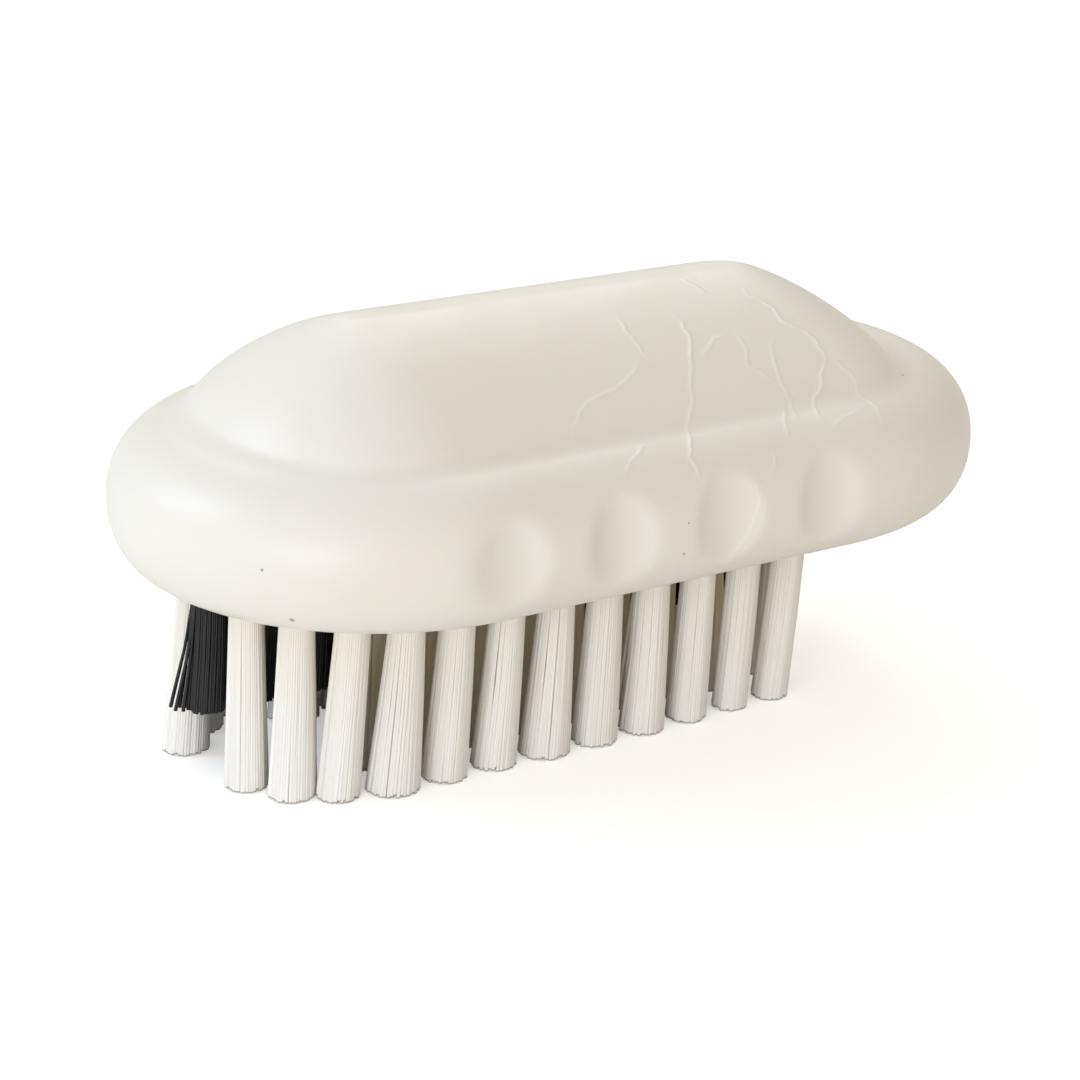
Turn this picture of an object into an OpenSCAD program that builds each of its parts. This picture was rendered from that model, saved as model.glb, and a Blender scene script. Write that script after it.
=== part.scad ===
// Nail brush: a one-piece moulded back with a raised grip and finger dimples, and tufts of bristle
// that flat wire anchors hold in its blind holes.
// Sizes are in millimetres. The brush stands on its white bristle tips at z = 0 with its length
// along X, and the origin is under the middle of the back.

/* [Back] */
// Length of the back over its round ends
back_l = 120; // [112:1:132]
// Width of the back at the widest line of its rim
back_w = 68; // [64:1:76]
// Height of the rim, from the flat underside to the crease below the grip
rim_h = 18.5; // [17:0.5:22]
// Height of the rim's widest line above the underside
rim_waist_h = 8.5; // [7.5:0.5:10]
// How far the flat underside stands in from the rim's widest line
under_inset = 7; // [6:0.5:8]
// How far the rim's top rolls in from its widest line
crease_inset = 11; // [9:0.5:12]
// How full the rim's section is: 2 is an ellipse, and more is squarer
rim_fullness = 2.2; // [2:0.1:2.6]

/* [Grip] */
// Height of the grip above the crease
grip_h = 12.3; // [10:0.1:15]
// How much the ridge would fall over the whole length of the back, towards its right end
ridge_fall_h = 1.6; // [0:0.1:2]
// Distance from the middle of the back to the left end of the grip's base
base_left_l = 49; // [46:0.5:50]
// Distance from the middle of the back to the right end of the grip's base
base_right_l = 45.6; // [43:0.2:48]
// Width of the grip at its base
base_w = 49.4; // [44:0.2:52]
// Length of the rounded left end of the base
base_left_end_l = 22; // [12:0.5:26]
// Length of the rounded right end of the base
base_right_end_l = 14.7; // [10:0.1:20]
// Distance from the middle of the back to the left end of the ridge
ridge_left_l = 30; // [26:0.2:34]
// Distance from the middle of the back to the right end of the ridge
ridge_right_l = 28.6; // [24:0.2:32]
// Width of the narrow flat along the ridge
ridge_w = 2.8; // [2:0.2:5]
// Length of the rounded left end of the ridge
ridge_left_end_l = 1.2; // [1:0.1:5]
// Length of the rounded right end of the ridge
ridge_right_end_l = 4; // [1:0.1:5]
// How full the grip's flanks are: 1 is a straight slope and 2 is an ellipse
grip_fullness = 1.38; // [1.2:0.01:2]
// How square the grip's ends are in plan: 2 is an ellipse
grip_squareness = 2.2; // [2:0.1:2.8]

/* [Finger dimples] */
// Number of finger dimples on each side
dimple_count = 4; // [3:1:4]
// Distance from one dimple to the next
dimple_pitch = 15.6; // [14:0.2:17]
// Width of a dimple along the rim
dimple_w = 10.4; // [9:0.1:12]
// Height of a dimple
dimple_h = 12.5; // [10:0.5:14]
// Depth of a dimple
dimple_depth = 1.5; // [1:0.1:2.2]
// Height of the dimples' middle above the underside
dimple_z = 9; // [8:0.5:10]
// How far the middle of the dimple row lies from the middle of the back
dimple_offset = 3.4; // [0:0.2:5]

/* [Tufts] */
// Length of the white bristles that stand out of the underside
bristle_l = 24; // [20:0.5:32]
// How much shorter the black bristles are
black_short = 8.2; // [4:0.2:12]
// Diameter of a tuft hole
hole_d = 4.5; // [4:0.1:5]
// Depth of a tuft hole
hole_depth = 11; // [9:0.5:12]
// Width that a tuft spreads to at its tips
tips_d = 6.1; // [5.2:0.1:6.5]
// How far the tips at the left end stand out to the left of their holes
left_tip_offset = 1.7; // [0:0.1:2]
// How far the tips at the right end stand to the left of their holes
right_tip_offset = 1.8; // [0:0.1:2]
// Least gap between the tips of two tufts in a row
row_gap = 1.1; // [1:0.1:2]
// Least gap between the tips of two tufts round the left end
end_gap = 0.35; // [0.3:0.05:0.8]
// Underside left bare beyond the left end's holes
margin_left = 1; // [1:0.1:3]
// Underside left bare beyond the right end's holes
margin_right = 19.9; // [17.1:0.2:23.9]
// Underside left bare beyond the side rows' holes
margin_side = 7.1; // [6.1:0.2:8.9]
// How far the tufts at the right end bow out
bow_l = 5; // [3:0.2:6]
// Radius of one strand of bristle
strand_r = 0.55; // [0.45:0.01:0.6]
// Strands round the middle one in each tuft
strand_count = 8; // [6:1:8]

/* [Anchors] */
// Thickness of the flat anchor wire
anchor_t = 0.4; // [0.3:0.05:0.6]
// Height of an anchor
anchor_h = 1.8; // [1.4:0.1:2.4]
// How far an anchor bites into the hole's wall on each side
bite_depth = 0.35; // [0.2:0.05:0.5]
// Thickness of the bristle fold between an anchor and the hole's floor
fold_t = 2; // [1.4:0.1:2.6]

/* [Hidden] */
// Clearance of a tuft in its hole, and of the fold from the hole's floor
tuft_clearance = 0.1;
// Clearance of an anchor in its slit
anchor_clearance = 0.05;
// How far the strands reach into the packed root of their tuft
strand_root_l = 1.5;
// How far the outer strands stay inside the edge of that root
strand_inset = 0.15;
// Length that is trimmed off the strands to cut their tips flat
tip_trim_l = 0.5;
// Overrun of a cut past the face that it opens
overrun = 1;
// How much narrower the fold is than the root, on each side
fold_inset = 0.8;

// Stations along each straight side and round each quarter of an end
side_steps = 40;
quarter_steps = 14;
// Stations crowd towards the sides, where the dimples are
quarter_crowding = 1.25;
// Rings up the rim's lower and upper part, through the crease and up the grip
under_steps = 7;
over_steps = 7;
crease_steps = 5;
grip_steps = 11;
// Shares of the rim's roll and of the grip's rise that the soft crease takes up
crease_rim_share = 0.78;
crease_grip_share = 0.14;
// Turn of each tuft from the one before, so that no two look alike
turn_angle = 137.5;

under_z = bristle_l;
waist_z = under_z + rim_waist_h;
crease_z = under_z + rim_h;
half_w = back_w / 2;
side_half = (back_l - back_w) / 2;

hole_r = hole_d / 2;
root_r = hole_r - tuft_clearance;
fold_z = under_z + hole_depth - tuft_clearance - fold_t;
anchor_l = hole_d + 2 * bite_depth;
anchor_z = fold_z - anchor_h;
row_pitch = tips_d + row_gap;
end_pitch = tips_d + end_gap;

// The tuft field is round at its left end and bowed at its right end, inside the underside
field_r = half_w - under_inset - margin_side - hole_r;
field_left = margin_left + hole_r - (back_l / 2 - under_inset);
field_right = back_l / 2 - under_inset - margin_right - hole_r;
field_turn = field_left + field_r;
row_end = field_right - bow_l;
side_count = floor((row_end - field_turn) / row_pitch);
side_pitch = (row_end - field_turn) / side_count;
arc_count = 2 * floor(PI * field_r / end_pitch / 2);
mid_count = floor((field_right - field_left) / row_pitch);
mid_pitch = (field_right - field_left) / mid_count;
row_count = floor(field_r / row_pitch);
row_step = field_r / row_count;

function bowed_end(y) = field_right - bow_l * pow(y / field_r, 2);
function lean_at(x) = blend(left_tip_offset, right_tip_offset, (x - field_left) / (field_right - field_left));

// Where the white tufts stand: round the left end, down both sides, in the inner rows and round
// the right end. The middle place of the left end belongs to the black row.
function arc_places() = [
    for (i = [1 : arc_count - 1])
        if (i != arc_count / 2)
            let (a = 90 + 180 * i / arc_count)
                [field_turn + field_r * cos(a), field_r * sin(a)]
];
function side_places() = [
    for (side = [-1, 1], i = [0 : side_count])
        [field_turn + i * side_pitch, side * field_r]
];
function inner_places() = [
    for (side = [-1, 1], row = [1 : 1 : row_count - 1], i = [0 : side_count])
        let (x = field_turn + i * side_pitch, y = side * row * row_step)
            if (x <= bowed_end(y) - row_pitch) [x, y]
];
function right_places() = [
    for (side = [-1, 1], row = [1 : 1 : row_count - 1])
        [bowed_end(row * row_step), side * row * row_step]
];
white_places = concat(arc_places(), side_places(), inner_places(), right_places());

// The black tufts stand in one row along the middle
black_places = [for (i = [0 : mid_count]) [field_left + i * mid_pitch, 0]];
all_places = concat(white_places, black_places);

function tuft_name(colour, i) = str(colour, "_tuft_", i < 9 ? "0" : "", i + 1);
white_names = [for (i = [0 : len(white_places) - 1]) tuft_name("white", i)];
black_names = [for (i = [0 : len(black_places) - 1]) tuft_name("black", i)];

// A station is a place round the back: its share along the straight side, and its angle round an end
function quarter_angle(i) = 90 * (1 - pow(1 - i / quarter_steps, quarter_crowding));
stations = concat(
    [for (i = [0 : quarter_steps - 1]) [1, quarter_angle(i)]],
    [for (i = [0 : side_steps - 1]) [1 - 2 * i / side_steps, 90]],
    [for (i = [0 : quarter_steps - 1]) [-1, 180 - quarter_angle(quarter_steps - i)]],
    [for (i = [0 : quarter_steps - 1]) [-1, 180 + quarter_angle(i)]],
    [for (i = [0 : side_steps - 1]) [2 * i / side_steps - 1, 270]],
    [for (i = [0 : quarter_steps - 1]) [1, 360 - quarter_angle(quarter_steps - i)]]
);

// A ring of the back is [left and right reach of its straight sides, length of its left and right
// ends, half width, height, fall of its height along the back, squareness]
function rim_ring(inset, z) = let (r = half_w - inset) [side_half, side_half, r, r, r, z, 0, 2];
function rim_power(v) = pow(v, 2 / rim_fullness);
function rim_under(t) = rim_ring(
    under_inset * (1 - rim_power(sin(t))), waist_z - rim_waist_h * rim_power(cos(t)));
function rim_over(t) = rim_ring(
    crease_inset * (1 - rim_power(cos(t))), waist_z + (crease_z - waist_z) * rim_power(sin(t)));
function blend(a, b, share) = a + (b - a) * share;

grip_base = [
    base_left_l - base_left_end_l, base_right_l - base_right_end_l, base_left_end_l, base_right_end_l,
    base_w / 2, crease_z, 0, grip_squareness];
grip_ridge = [
    ridge_left_l - ridge_left_end_l, ridge_right_l - ridge_right_end_l, ridge_left_end_l, ridge_right_end_l,
    ridge_w / 2, crease_z + grip_h, ridge_fall_h, grip_squareness];
function grip_power(v) = pow(v, 2 / grip_fullness);
function grip_ring(t) = [
    for (k = [0 : len(grip_base) - 1])
        let (heights = k == 5 || k == 6, share = heights ? 1 - grip_power(sin(t)) : grip_power(cos(t)))
            blend(grip_ridge[k], grip_base[k], share)
];

// The soft crease bends from the rim's roll to the grip's flank, past the corner where they meet
crease_start = rim_over(90 * crease_rim_share);
crease_stop = grip_ring(90 * crease_grip_share);
function crease_ring(share) = blend(
    blend(crease_start, grip_base, share), blend(grip_base, crease_stop, share), share);

rings = concat(
    [for (i = [0 : under_steps]) rim_under(90 * i / under_steps)],
    [for (i = [1 : over_steps]) rim_over(90 * crease_rim_share * i / over_steps)],
    [for (i = [1 : crease_steps]) crease_ring(i / crease_steps)],
    [for (i = [1 : grip_steps])
        grip_ring(90 * (crease_grip_share + (1 - crease_grip_share) * i / grip_steps))]
);

// How deep the dimples are at a place on the rim: flat-floored, with soft walls
function dimple_at(x, z) = max([
    for (i = [0 : dimple_count - 1])
        let (
            mid = (i - (dimple_count - 1) / 2) * dimple_pitch - dimple_offset,
            r2 = pow((x - mid) / (dimple_w / 2), 2)
                + pow((z - under_z - dimple_z) / (dimple_h / 2), 2)
        )
            r2 < 1 ? dimple_depth * pow(1 - pow(r2, 1.5), 2) : 0
]);

function ring_point(ring, station) =
    let (
        c = cos(station[1]),
        s = sin(station[1]),
        power = 2 / ring[7],
        end = (c < 0 ? -ring[2] : ring[3]) * pow(abs(c), power),
        x = blend(-ring[0], ring[1], (station[0] + 1) / 2) + end,
        y = sign(s) * ring[4] * pow(abs(s), power)
    )
        [x, y - sign(y) * dimple_at(x, ring[5]), ring[5] - ring[6] * x / back_l];

// Faces of a skin over rings of n points, closed by a fan from a point at each end
function skin_faces(n, levels) = concat(
    [for (j = [0 : n - 1]) [0, 1 + j, 1 + (j + 1) % n]],
    [for (i = [0 : levels - 2], j = [0 : n - 1], half = [0, 1])
        let (a = 1 + i * n + j, b = 1 + i * n + (j + 1) % n)
            half == 0 ? [a, a + n, b + n] : [a, b + n, b]],
    [for (j = [0 : n - 1])
        [1 + levels * n, 1 + (levels - 1) * n + (j + 1) % n, 1 + (levels - 1) * n + j]]
);

// The solid back before its holes are made: a loft of rings from the underside to the ridge
module back_blank() {
    points = concat(
        [[0, 0, under_z]],
        [for (ring = rings, station = stations) ring_point(ring, station)],
        [[0, 0, crease_z + grip_h]]
    );
    polyhedron(points, skin_faces(len(stations), len(rings)), convexity = 8);
}

// A flat anchor, with the same room all round it where it is used as a cut
module anchor(room = 0) {
    translate([-anchor_l / 2 - room, -anchor_t / 2 - room, anchor_z - room])
        cube([anchor_l + 2 * room, anchor_t + 2 * room, anchor_h + 2 * room]);
}

module brush_back() {
    color("ivory")
        difference() {
            back_blank();
            for (place = all_places)
                translate(place) {
                    translate([0, 0, under_z - overrun])
                        cylinder(h = hole_depth + overrun, r = hole_r, $fn = 48);
                    anchor(anchor_clearance);
                }
        }
}

// One three-sided strand, from its place in the packed root to its place among the trimmed tips
module strand(root, tip, turn, tip_z) {
    root_z = under_z + strand_root_l;
    trimmed = blend(tip, root, tip_trim_l / (root_z - tip_z + tip_trim_l));
    points = [
        for (end = [[trimmed, tip_z], [root, root_z]], a = [0, 120, 240])
            [end[0][0] + strand_r * cos(turn + a), end[0][1] + strand_r * sin(turn + a), end[1]]
    ];
    sides = [for (k = [0 : 2], half = [0, 1])
        let (next = (k + 1) % 3)
            half == 0 ? [k, k + 3, next + 3] : [k, next + 3, next]];
    polyhedron(points, concat([[0, 1, 2]], sides, [[5, 4, 3]]));
}

// The packed root of a tuft, folded over its anchor and narrowing at the fold
module tuft_root() {
    difference() {
        rotate_extrude($fn = 48)
            polygon([
                [0, under_z],
                [root_r, under_z],
                [root_r, fold_z],
                [root_r - fold_inset, fold_z + fold_t],
                [0, fold_z + fold_t]
            ]);
        anchor(anchor_clearance);
    }
}

module tuft(place, turn, tip_z) {
    root_out = root_r - strand_r - strand_inset;
    tip_out = tips_d / 2 - strand_r;
    lean = [-lean_at(place[0]), 0];
    translate(place) {
        tuft_root();
        strand([0, 0], lean, turn, tip_z);
        for (i = [0 : strand_count - 1]) {
            angle = turn + 360 * i / strand_count;
            out = [cos(angle), sin(angle)];
            strand(root_out * out, tip_out * out + lean, angle, tip_z);
        }
    }
}

module white_tuft(i) {
    color("white") tuft(white_places[i], turn_angle * i, 0);
}

module black_tuft(i) {
    color("dimgray") tuft(black_places[i], turn_angle * i, black_short);
}

module tuft_anchors() {
    color("goldenrod")
        for (place = all_places)
            translate(place) anchor();
}

brush_back();
for (i = [0 : len(white_names) - 1])
    white_tuft(i);
for (i = [0 : len(black_names) - 1])
    black_tuft(i);
tuft_anchors();
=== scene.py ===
"""Dresses the nail brush: a moulded back with flow marks, nylon tufts, wire anchors and a pale studio."""

import math
from collections import namedtuple

import bmesh
import bpy
import numpy as np
from bpy.props import FloatProperty, FloatVectorProperty, IntProperty, PointerProperty
from mathutils import Matrix, Vector, noise
from mathutils.bvhtree import BVHTree
from mathutils.kdtree import KDTree


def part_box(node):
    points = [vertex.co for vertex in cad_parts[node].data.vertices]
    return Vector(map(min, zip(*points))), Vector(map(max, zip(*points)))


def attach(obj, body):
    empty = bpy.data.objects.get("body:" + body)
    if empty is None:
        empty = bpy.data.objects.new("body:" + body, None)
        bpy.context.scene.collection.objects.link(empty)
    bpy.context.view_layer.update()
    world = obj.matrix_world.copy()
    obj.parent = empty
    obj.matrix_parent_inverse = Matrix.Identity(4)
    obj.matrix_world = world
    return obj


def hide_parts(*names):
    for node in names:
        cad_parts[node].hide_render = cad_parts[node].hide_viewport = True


bl_info = {
    "name": "Nail Brush",
    "version": (1, 0, 0),
    "blender": (4, 5, 0),
    "location": "View3D > Sidebar > Nail Brush",
    "description": "Models the moulded back, the nylon tufts and the studio of a nail brush",
    "category": "Object",
}

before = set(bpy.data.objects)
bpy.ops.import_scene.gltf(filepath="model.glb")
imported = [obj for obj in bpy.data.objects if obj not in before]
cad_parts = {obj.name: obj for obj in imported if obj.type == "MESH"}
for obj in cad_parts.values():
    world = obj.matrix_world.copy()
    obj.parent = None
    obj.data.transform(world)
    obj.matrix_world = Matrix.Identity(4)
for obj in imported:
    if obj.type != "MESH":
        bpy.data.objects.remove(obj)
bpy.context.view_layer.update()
BACK_LOW, BACK_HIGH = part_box("brush_back")

MM = 0.001
# Keeps a division by a length of nothing from failing
TINY = 1e-9
PHOTO_PIXELS = 1080
BODY = "root"
WHITE_NODES = sorted(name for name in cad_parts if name.startswith("white_tuft_"))
BLACK_NODES = sorted(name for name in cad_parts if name.startswith("black_tuft_"))
# The two rows of white tufts beside the black one, which the outer tufts screen from the light, and which
# carry a painted shade
INNER_NODES = WHITE_NODES[24:40]


def length(name, text, millimetres):
    """A length in metres, written in millimetres."""
    return FloatProperty(name=name, description=text, default=millimetres * MM, unit="LENGTH", precision=5)


def angle(name, text, degrees):
    """An angle in radians, written in degrees."""
    return FloatProperty(name=name, description=text, default=math.radians(degrees), subtype="ANGLE")


def share(name, text, default):
    """A plain number, such as a share or an exponent."""
    return FloatProperty(name=name, description=text, default=default, min=0, precision=3)


def count(name, text, default):
    """A whole number of things."""
    return IntProperty(name=name, description=text, default=default, min=1)


def linear(code):
    """Turns an sRGB hex colour to linear red, green, blue and alpha."""
    values = [int(code[i : i + 2], 16) / 255 for i in (1, 3, 5)]
    return [v / 12.92 if v <= 0.04045 else ((v + 0.055) / 1.055) ** 2.4 for v in values] + [1.0]


def colour(name, text, code):
    """A colour, written as an sRGB hex value."""
    return FloatVectorProperty(name=name, description=text, default=linear(code), size=4, subtype="COLOR")


class BackSettings(bpy.types.PropertyGroup):
    """Sizes and colours of the moulded back"""

    rim_height: length("Rim height", "From the flat underside to the crease below the grip", 18.5)
    waist_height: length("Waist height", "Height of the rim's widest line above the underside", 8.5)
    under_inset: length("Under inset", "How far the underside stands in from the widest line", 7)
    crease_inset: length("Crease inset", "How far the rim's top rolls in from the widest line", 11)
    rim_fullness: share("Rim fullness", "Fullness of the rim's section; 2 is an ellipse", 2.2)
    base_left: length("Base left", "From the middle to the left end of the grip's base", 49)
    base_right: length("Base right", "From the middle to the right end of the grip's base", 45.6)
    base_width: length("Base width", "Width of the grip at its base", 49.4)
    base_left_end: length("Base left end", "Length of the rounded left end of the base", 22)
    base_right_end: length("Base right end", "Length of the rounded right end of the base", 14.7)
    ridge_left: length("Ridge left", "From the middle to the left end of the ridge", 30)
    ridge_right: length("Ridge right", "From the middle to the right end of the ridge", 28.6)
    ridge_width: length("Ridge width", "Width of the narrow flat along the ridge", 2.8)
    ridge_left_end: length("Ridge left end", "Length of the rounded left end of the ridge", 1.2)
    ridge_right_end: length("Ridge right end", "Length of the rounded right end of the ridge", 4)
    ridge_fall: length("Ridge fall", "Fall of the ridge over the back's whole length", 1.6)
    grip_height: length("Grip height", "Height of the grip above the crease", 12.3)
    grip_fullness: share("Grip fullness", "Fullness of the grip's flanks; 1 is a straight slope", 1.38)
    grip_squareness: share("Grip squareness", "Squareness of the grip's ends; 2 is an ellipse", 2.2)
    crease_rim_share: share("Crease on the rim", "Share of the rim's roll that the crease takes", 0.78)
    crease_grip_share: share("Crease on the grip", "Share of the grip's rise that the crease takes", 0.14)
    dimple_count: count("Dimples", "Finger dimples on each side", 4)
    dimple_pitch: length("Dimple pitch", "From one finger dimple to the next", 15.6)
    dimple_width: length("Dimple width", "Width of a dimple along the rim", 11.2)
    dimple_height: length("Dimple height", "Height of a dimple", 12.5)
    dimple_depth: length("Dimple depth", "Depth of a dimple", 1.7)
    dimple_rise: length("Dimple rise", "Height of the dimples' middle above the underside", 9)
    dimple_offset: length("Dimple offset", "How far the dimples lie left of the middle", 4.0)
    hole_diameter: length("Hole diameter", "Diameter of a tuft hole", 4.5)
    hole_depth: length("Hole depth", "Depth of a tuft hole", 11)
    mark_height: length("Flow mark height", "Height of a raised flow mark", 0.13)
    mark_wander: share(
        "Flow mark wander", "How far a flow mark wanders from its line, in the photograph's pixels", 2.2)
    mark_width: length("Flow mark width", "Width of a raised flow mark", 0.52)
    tint: colour("Colour", "Warm white of the moulded back", "#F3F0E9")
    deep_tint: colour("Deep colour", "Creamier white of its thick stretches", "#EDE7DC")
    # Painted highlight: the flow marks' paler white stands in for the light that catches their raised
    # lines
    mark_highlight_tint: colour("Flow mark colour", "Paler white along the flow marks", "#FBFAF6")
    speck_tint: colour("Speck colour", "Brown of the dirt specks", "#8A7A68")


class TuftSettings(bpy.types.PropertyGroup):
    """Sizes and colours of the tufts and of the wire that holds them"""

    filament: length("Filament", "Diameter of one nylon filament", 0.32)
    tip_swell: share("Tip swell", "How much fuller a filament is drawn at its tip than at its root", 1.6)
    full_flare: share(
        "Full flare", "Flare up to which filaments of the plain tip swell hide their gaps", 0.95)
    spacing: length("Spacing", "Distance between filaments packed in a hole", 0.26)
    bundle: share("Bundle", "How far the light takes a white tuft as one round bundle", 0.5)
    black_bundle: share("Black bundle", "The same for a black tuft, whose filaments pass no light on", 0.0)
    roughness: share("Nylon roughness", "Roughness of the extruded filaments", 0.42)
    cut_scatter: length("Cut scatter", "How uneven the trimmed tips are", 0.2)
    tip_scatter: length("Tip scatter", "How far a tip strays from its even place", 0.04)
    clumps: count("Clumps", "How many clumps the filaments on one side of an anchor gather in", 11)
    clumping: share("Clumping", "How far a tip is drawn towards the middle of its clump", 0.05)
    bell: share("Bell", "Share of its lean that a filament has half way down", 0.46)
    bow: length("Bow", "How far a filament bows out between its hole and its tip", 0.05)
    stray_reach: length("Stray reach", "How far a stray filament's tip stands off its tuft", 1.7)
    cut_band: length("Cut band", "Length of the darker cut end of a filament", 0.22)
    white: colour("White nylon", "Colour of the white filaments", "#FFFDF9")
    white_deep: colour("Deeper white", "Colour of the creamier white filaments", "#F9F5EE")
    # Painted shade: the creamier roots stand in for the warm shade between the crowded threads
    white_root_shade: colour("White roots", "Colour of the white filaments where they leave the back", "#F5EFE1")
    # Painted shade on the inner rows, which the outer tufts screen from the light
    white_inner_shade: colour("White inner rows", "Colour of the inner rows above their tips", "#E8DABF")
    white_cut: colour("White cut ends", "Colour of the white filaments' cut ends", "#A69B8A")
    black: colour("Black nylon", "Colour of the black filaments", "#0F0E11")
    black_deep: colour("Deeper black", "Colour of the darker black filaments", "#0A090B")
    # Painted shade at the black roots, which barely differs from the black itself
    black_root_shade: colour("Black roots", "Colour of the black filaments where they leave the back", "#0F0E10")
    black_cut: colour("Black cut ends", "Colour of the black filaments' cut ends", "#070607")
    brass: colour("Brass", "Colour of the anchors' drawn brass wire", "#D9B872")
    brass_deep: colour("Deeper brass", "Colour of the darker lines along the wire", "#BE9A54")


class StageSettings(bpy.types.PropertyGroup):
    """The photograph's camera, the floor and the fill light"""

    focal: length("Focal length", "Focal length on a sensor 36 mm wide", 102.105)
    distance: length("Distance", "From the camera to its target", 393.1)
    azimuth: angle("Azimuth", "Turn of the camera round the brush", -33.066)
    elevation: angle("Elevation", "Height of the camera above the horizon", 19.721)
    roll: angle("Roll", "Tilt of the camera round its own axis", 0.705)
    target: FloatVectorProperty(
        name="Target",
        description="The point that the camera looks at",
        default=[-5.609 * MM, -5.826 * MM, 23.564 * MM],
        unit="LENGTH",
    )
    floor: colour("Floor", "Pale matt floor", "#F6F5F2")
    floor_lift: share("Floor lift", "Strength of the white that the camera alone sees on the floor", 0.42)
    daylight: colour("Fill light", "Warm white light from all round", "#FFF8EF")
    fill_strength: share("Fill strength", "Strength of the light from all round", 0.62)


SENSOR = 36 * MM
NEAREST_SEEN = 10 * MM
# Half the side of the floor in metres, and the height that the soft boxes point at
FLOOR_REACH = 3
LAMP_AIM = 30 * MM

# Soft boxes: the turn round the brush and the height in degrees, the distance and the side in
# metres, the power in watts, and the colour
SOFT_BOXES = {
    "left_back_soft_box": (-125, 33, 1.0, 0.5, 3.0, "#C6E5FF"),
    "left_front_soft_box": (-58, 5, 1.0, 0.5, 4.6, "#EFF3FF"),
    "right_back_soft_box": (150, 40, 1.0, 0.5, 2.0, "#FFFFFB"),
}

# Raised flow marks on the back, as points of the photograph's 1080 x 1080 pixels
FLOW_MARKS = {
    "long_mark": ((676, 316), (683, 326), (691, 343), (690, 358), (692, 369), (690, 385), (692, 401),
                  (689, 422), (690, 433), (697, 437)),
    "long_mark_below": ((690, 433), (691, 446), (690, 458), (698, 470), (702, 481)),
    "upper_branch": ((619, 318), (636, 343), (647, 358)),
    "lower_branch": ((640, 360), (632, 374), (614, 389), (589, 401), (576, 422), (572, 441)),
    "ridge_mark": ((680, 277), (694, 285), (709, 295)),
    "right_mark": ((745, 290), (758, 300), (772, 308), (785, 324), (809, 334), (821, 350), (826, 360),
                   (821, 374), (821, 387), (814, 401), (817, 414), (828, 425)),
    "middle_mark": ((735, 334), (745, 347), (747, 362), (751, 367), (764, 374), (772, 382)),
    "slanted_mark": ((774, 338), (772, 346), (774, 363), (782, 382), (792, 406), (797, 422)),
    "side_branch": ((705, 355), (709, 347), (715, 339), (726, 334)),
    "end_mark": ((828, 355), (841, 366), (855, 382), (860, 395), (871, 401), (879, 411), (883, 427)),
    "crease_mark": ((646, 445), (632, 461), (623, 476)),
    "dimple_mark": ((757, 488), (760, 502), (753, 524), (742, 543), (726, 559)),
    "short_mark_1": ((831, 425), (844, 417), (860, 409)),
    "short_mark_2": ((785, 411), (786, 427), (790, 438)),
    "short_mark_3": ((776, 454), (772, 476)),
}
# The marks that stand out most
STRONG_MARKS = {"long_mark": 1.0, "long_mark_below": 1.0, "right_mark": 1.0, "dimple_mark": 0.8}
FAINT_MARK = 0.62
# Distance between the points of a mark and length of the waves it wanders in, both in the
# photograph's pixels, and length of the waves in its strength
MARK_STEP = 0.5
WANDER_WAVE = 9
# A step in the noise from a mark's wander across to its wander up and down
WANDER_SHIFT = Vector((0, 0, 7.5))
STRENGTH_WAVE = 3 * MM
# How near a mark the skin is refined, step by step, and the longest edge that stays there
MARK_REFINING = (
    (1.6 * MM, 0.7 * MM), (1.0 * MM, 0.36 * MM), (0.7 * MM, 0.19 * MM), (0.45 * MM, 0.13 * MM),
)
# The least share of a mark's height that moves the skin
LEAST_RELIEF = 0.01

# Dirt specks on the back: the photograph's pixels, and the diameter in millimetres
DIRT_SPECKS = (
    (262, 570, 0.45), (292, 620, 0.8), (399, 305, 0.3),
    (684, 554, 0.45), (689, 523, 0.3), (903, 375, 0.5),
)

# How the tufts in the photograph stand, for no two are fed alike: how far their tips lean to the
# camera's right in millimetres, and how wide they flare as a share of the even flare
STANDING = {
    "white_tuft_03": (-0.5, 0.98), "white_tuft_04": (0.88, 0.86), "white_tuft_05": (0.41, 0.95),
    "white_tuft_06": (-0.81, 0.86), "white_tuft_07": (-0.59, 1.1), "white_tuft_08": (-0.45, 0.95),
    "white_tuft_09": (-0.51, 0.94), "white_tuft_10": (-0.23, 1.06), "white_tuft_11": (0.09, 0.95),
    "white_tuft_12": (0.21, 0.95), "white_tuft_13": (-0.05, 0.84), "white_tuft_14": (-0.16, 0.75),
    "white_tuft_15": (-0.68, 0.78), "white_tuft_32": (0.7, 1.15), "black_tuft_01": (0.4, 0.82),
}
# The other tufts lean by this spread in millimetres, and flare between these shares, at random
LEAN_SPREAD = 0.2
FLARES = (0.98, 1.1)
# Stray filaments, as shares of the stray reach to the camera's left. Each is one of the outermost
# few on that side
STRAYS = {"black_tuft_01": (1.2, 0.5), "white_tuft_12": (0.5,)}
STRAY_CHOICE = 3
WHITE_SEED, BLACK_SEED = 11, 12


def add_node(tree, kind, inputs=(), **settings):
    """Adds a node with its settings, and fills its inputs from values or from other nodes' outputs."""
    node = tree.nodes.new(kind)
    for name, value in settings.items():
        setattr(node, name, value)
    for socket, value in dict(inputs).items():
        if isinstance(value, bpy.types.NodeSocket):
            tree.links.new(value, node.inputs[socket])
        else:
            node.inputs[socket].default_value = value
    return node


def new_material(name):
    """An empty material, its tree and its output node."""
    made = bpy.data.materials.new(name)
    made.use_nodes = True
    made.node_tree.nodes.clear()
    return made, made.node_tree, add_node(made.node_tree, "ShaderNodeOutputMaterial")


def new_piece(name, mesh, slot, *replaced):
    """Puts a finished mesh in the scene as a piece that stands for CAD nodes."""
    piece = bpy.data.objects.new(name, mesh)
    bpy.context.scene.collection.objects.link(piece)
    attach(piece, BODY)
    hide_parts(*replaced)
    return piece


def direction(azimuth, elevation):
    """The way from the brush to a place at a turn round it and an angle above the horizon."""
    out = math.cos(elevation)
    return Vector((math.sin(azimuth) * out, -math.cos(azimuth) * out, math.sin(elevation)))


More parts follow.
